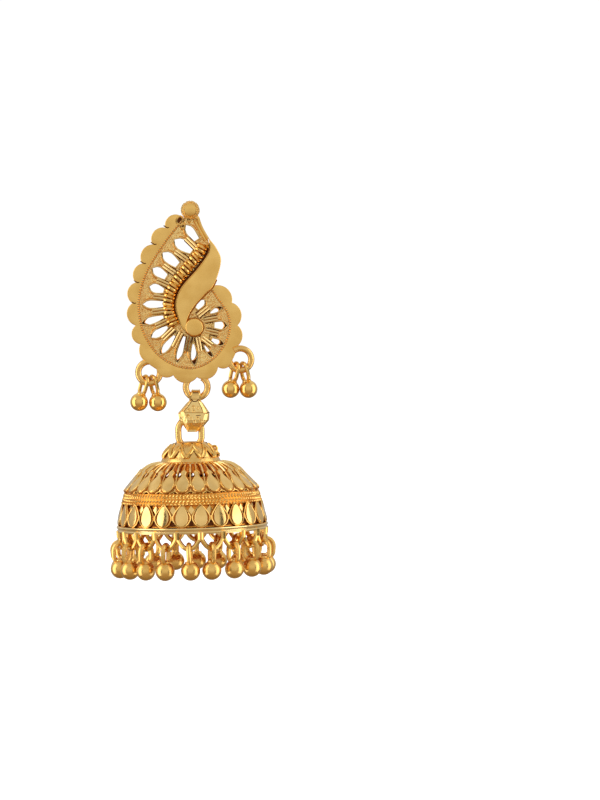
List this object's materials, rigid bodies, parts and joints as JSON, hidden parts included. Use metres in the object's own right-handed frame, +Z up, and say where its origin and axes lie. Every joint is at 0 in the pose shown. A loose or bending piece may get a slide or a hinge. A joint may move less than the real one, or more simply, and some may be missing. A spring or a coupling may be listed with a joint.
{
  "type": "jhumka drop earring",
  "caption": "Gold drop earring: a pierced paisley plate with a raised leaf, small ball drops, a faceted link and a hanging bell with a ball fringe.",
  "frame": {"origin": "where the ear post leaves the flat back of the top plate", "axes": "+Z up as worn, -Y the decorated front, +Y along the ear post towards the ear, +X to the right seen from the front"},
  "size_m": [0.0249, 0.0249, 0.0565],
  "materials": {
    "plate_gold": "gold plated, polished border and leaf, granulated ground",
    "post_gold": "gold plated, plain",
    "drop_gold": "gold plated, polished",
    "link_gold": "gold plated, diamond cut facets",
    "bell_gold": "gold plated, embossed and granulated, polished facets"
  },
  "bodies": {
    "top": {"top_plate": "plate_gold", "ear_post": "post_gold", "side_drop_left_outer": "drop_gold", "side_drop_left_inner": "drop_gold", "side_drop_right_inner": "drop_gold", "side_drop_right_outer": "drop_gold"},
    "link": {"link": "link_gold"},
    "bell": {"dome": "bell_gold", "fringe_drop_01": "drop_gold", "fringe_drop_02": "drop_gold", "fringe_drop_03": "drop_gold", "fringe_drop_04": "drop_gold", "fringe_drop_05": "drop_gold", "fringe_drop_06": "drop_gold", "fringe_drop_07": "drop_gold", "fringe_drop_08": "drop_gold", "fringe_drop_09": "drop_gold", "fringe_drop_10": "drop_gold", "fringe_drop_11": "drop_gold", "fringe_drop_12": "drop_gold", "fringe_drop_13": "drop_gold", "fringe_drop_14": "drop_gold", "fringe_drop_15": "drop_gold", "fringe_drop_16": "drop_gold", "fringe_drop_17": "drop_gold", "fringe_drop_18": "drop_gold", "fringe_drop_19": "drop_gold", "fringe_drop_20": "drop_gold"}
  },
  "joints": [
    {"name": "link_swing", "type": "hinge", "parent": "top", "child": "link", "pos_m": [-0.0012, -0.00055, -0.02036], "axis": [0.9877, 0, -0.1564], "range_deg": [-30, 30]},
    {"name": "bell_sway", "type": "hinge", "parent": "link", "child": "bell", "pos_m": [-0.00197, -0.00055, -0.0252], "axis": [0, 1, 0], "range_deg": [-30, 30]}
  ]
}
